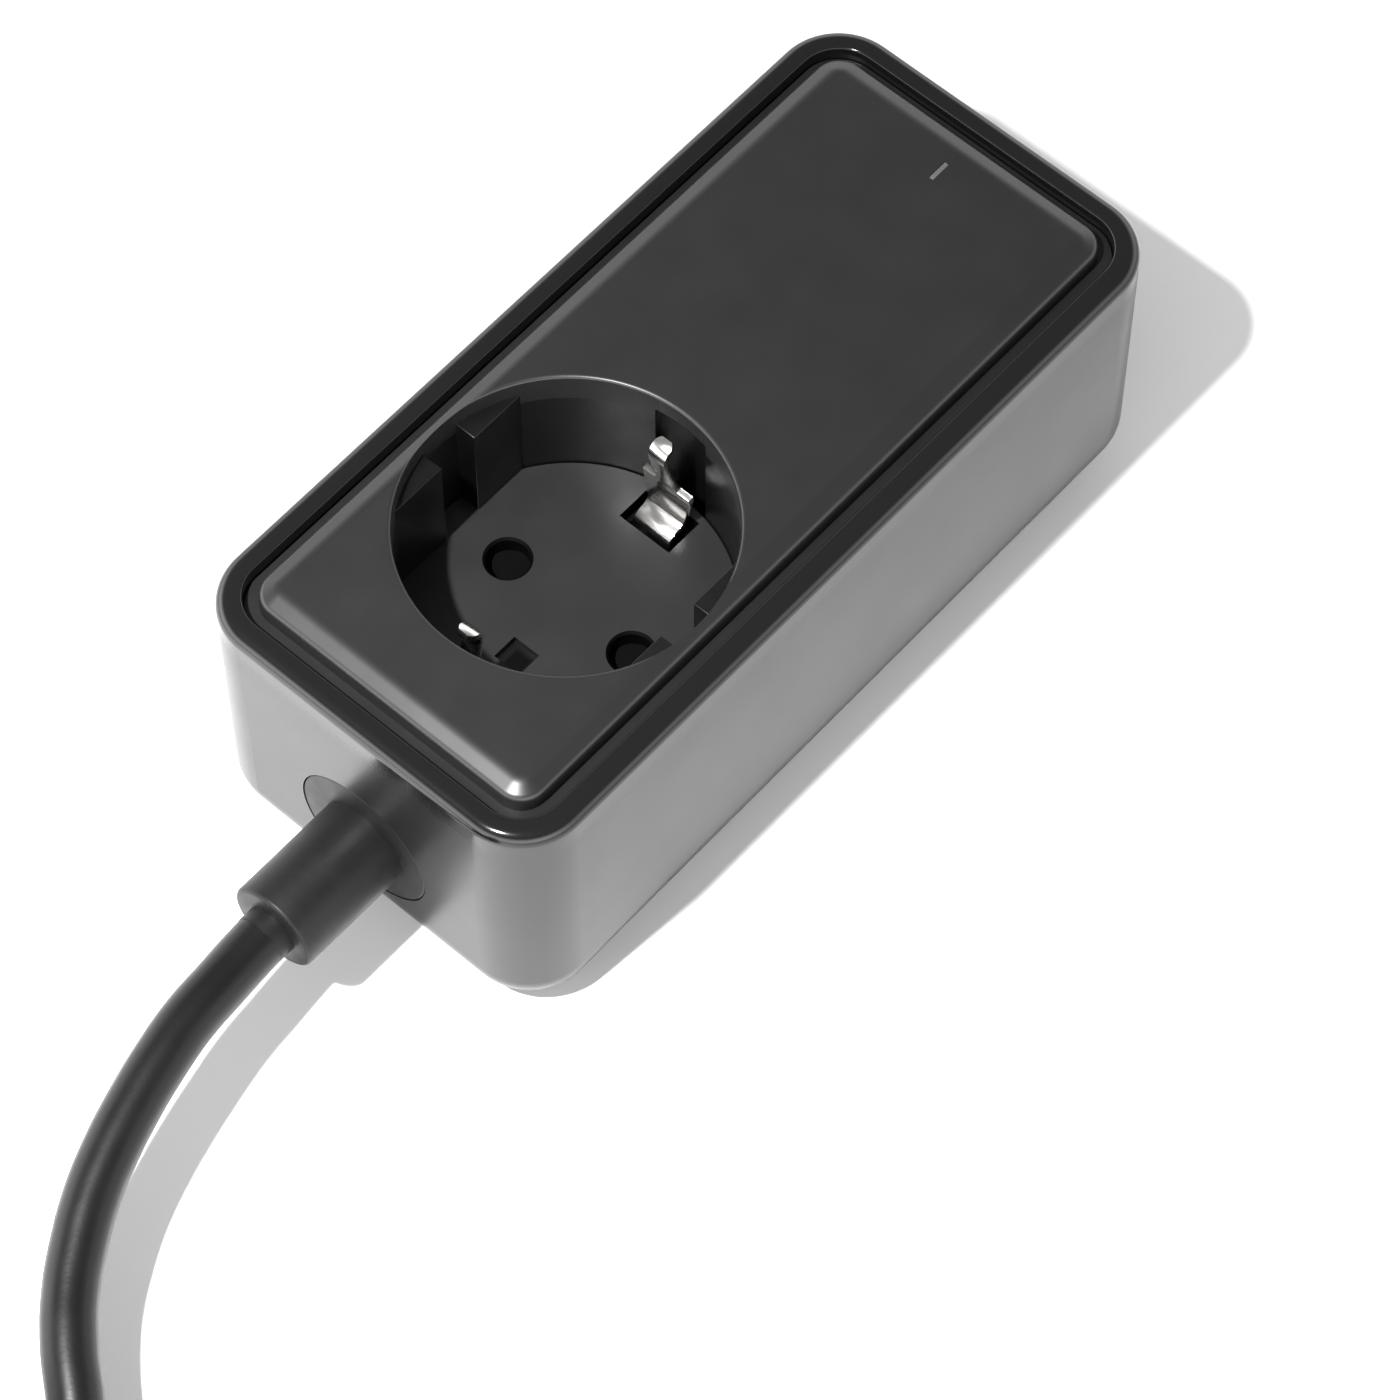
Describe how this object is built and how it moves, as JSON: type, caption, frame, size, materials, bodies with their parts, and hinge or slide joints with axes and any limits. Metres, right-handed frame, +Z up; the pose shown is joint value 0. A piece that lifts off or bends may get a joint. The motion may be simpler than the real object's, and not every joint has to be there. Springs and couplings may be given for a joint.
{
  "type": "corded smart socket block",
  "caption": "Rounded black mains block on a lead: earthed round outlet with shutter and sprung earth clips, status light, wireless relay electronics inside.",
  "frame": {"origin": "centre of the block's base, on the surface it stands on, without the lead", "axes": "+X along the block away from the lead, +Y across the block, +Z up"},
  "size_m": [0.2754, 0.0836, 0.071],
  "materials": {
    "shell_black": "black moulded plastic, satin sides and polished rim",
    "panel_black": "fine matt black moulded plastic",
    "cup_black": "black moulded plastic, slightly glossy",
    "collar_black": "soft matt black moulded plastic",
    "cord_black": "satin black sheath",
    "tie_black": "woven hook and loop strap",
    "foot_rubber": "matt rubber",
    "nickel": "nickel plate",
    "steel": "zinc plated",
    "brass_contact": "stamped brass",
    "light_window": "translucent light guide",
    "led_lens": "clear lens",
    "carrier_plastic": "black moulded plastic",
    "shutter_plastic": "black moulded plastic",
    "clamp_plastic": "moulded plastic",
    "board_green": "solder mask",
    "relay_blue": "relay case",
    "module_black": "potted module",
    "capacitor_sleeve": "shrink sleeve",
    "film_yellow": "capacitor case",
    "fuse_body": "fuse case",
    "varistor_blue": "epoxy coat",
    "terminal_green": "terminal block",
    "wifi_navy": "solder mask",
    "plunger_grey": "moulded plastic",
    "wire_brown": "insulation",
    "wire_blue": "insulation",
    "wire_green": "insulation"
  },
  "bodies": {
    "block": {"housing": "shell_black", "top_panel": "panel_black", "socket_cup": "cup_black", "socket_floor": "cup_black", "light_pipe": "light_window", "base_cover": "shell_black", "rubber_feet": "foot_rubber", "cover_screws": "steel", "strain_relief": "collar_black", "sheath_end": "cord_black", "cord_clamp": "clamp_plastic", "clamp_screws": "steel", "contact_carrier": "carrier_plastic", "carrier_screws": "steel", "shutter_spring": "steel", "live_contact": "brass_contact", "neutral_contact": "brass_contact", "earth_strap": "steel", "main_board": "board_green", "board_screws": "steel", "relay": "relay_blue", "power_module": "module_black", "capacitors": "capacitor_sleeve", "film_capacitor": "film_yellow", "fuse": "fuse_body", "varistor": "varistor_blue", "terminal_block": "terminal_green", "control_board": "board_green", "wifi_board": "wifi_navy", "wifi_shield": "steel", "status_led": "led_lens", "board_header": "module_black", "tact_switch": "module_black", "wire_live": "wire_brown", "wire_neutral": "wire_blue", "wire_earth": "wire_green", "wire_load_live": "wire_brown", "wire_load_neutral": "wire_blue", "cord": "cord_black", "cord_coil": "cord_black", "coil_tie": "tie_black", "cord_tail": "cord_black", "plug_body": "collar_black", "plug_pins": "nickel", "plug_earth": "nickel"},
    "shutter": {"shutter": "shutter_plastic"},
    "clip_far": {"earth_clip_far": "nickel"},
    "clip_near": {"earth_clip_near": "nickel"},
    "button": {"pair_button": "shell_black", "switch_plunger": "plunger_grey"}
  },
  "joints": [
    {"name": "shutter_turn", "type": "hinge", "parent": "block", "child": "shutter", "pos_m": [-0.0202, 0, 0.0207], "axis": [0, 0, 1], "range_deg": [0, 45], "stiffness_Nm_per_rad": 0.01},
    {"name": "clip_far_flex", "type": "hinge", "parent": "block", "child": "clip_far", "pos_m": [-0.006, 0, 0.0209], "axis": [0, 1, 0], "range_deg": [0, 4], "stiffness_Nm_per_rad": 0.5},
    {"name": "clip_near_flex", "type": "hinge", "parent": "block", "child": "clip_near", "pos_m": [-0.0344, 0, 0.0209], "axis": [0, -1, 0], "range_deg": [0, 4], "stiffness_Nm_per_rad": 0.5},
    {"name": "button_press", "type": "slide", "parent": "block", "child": "button", "axis": [-1, 0, 0], "range_m": [0, 0.0004], "stiffness_N_per_m": 4000}
  ]
}
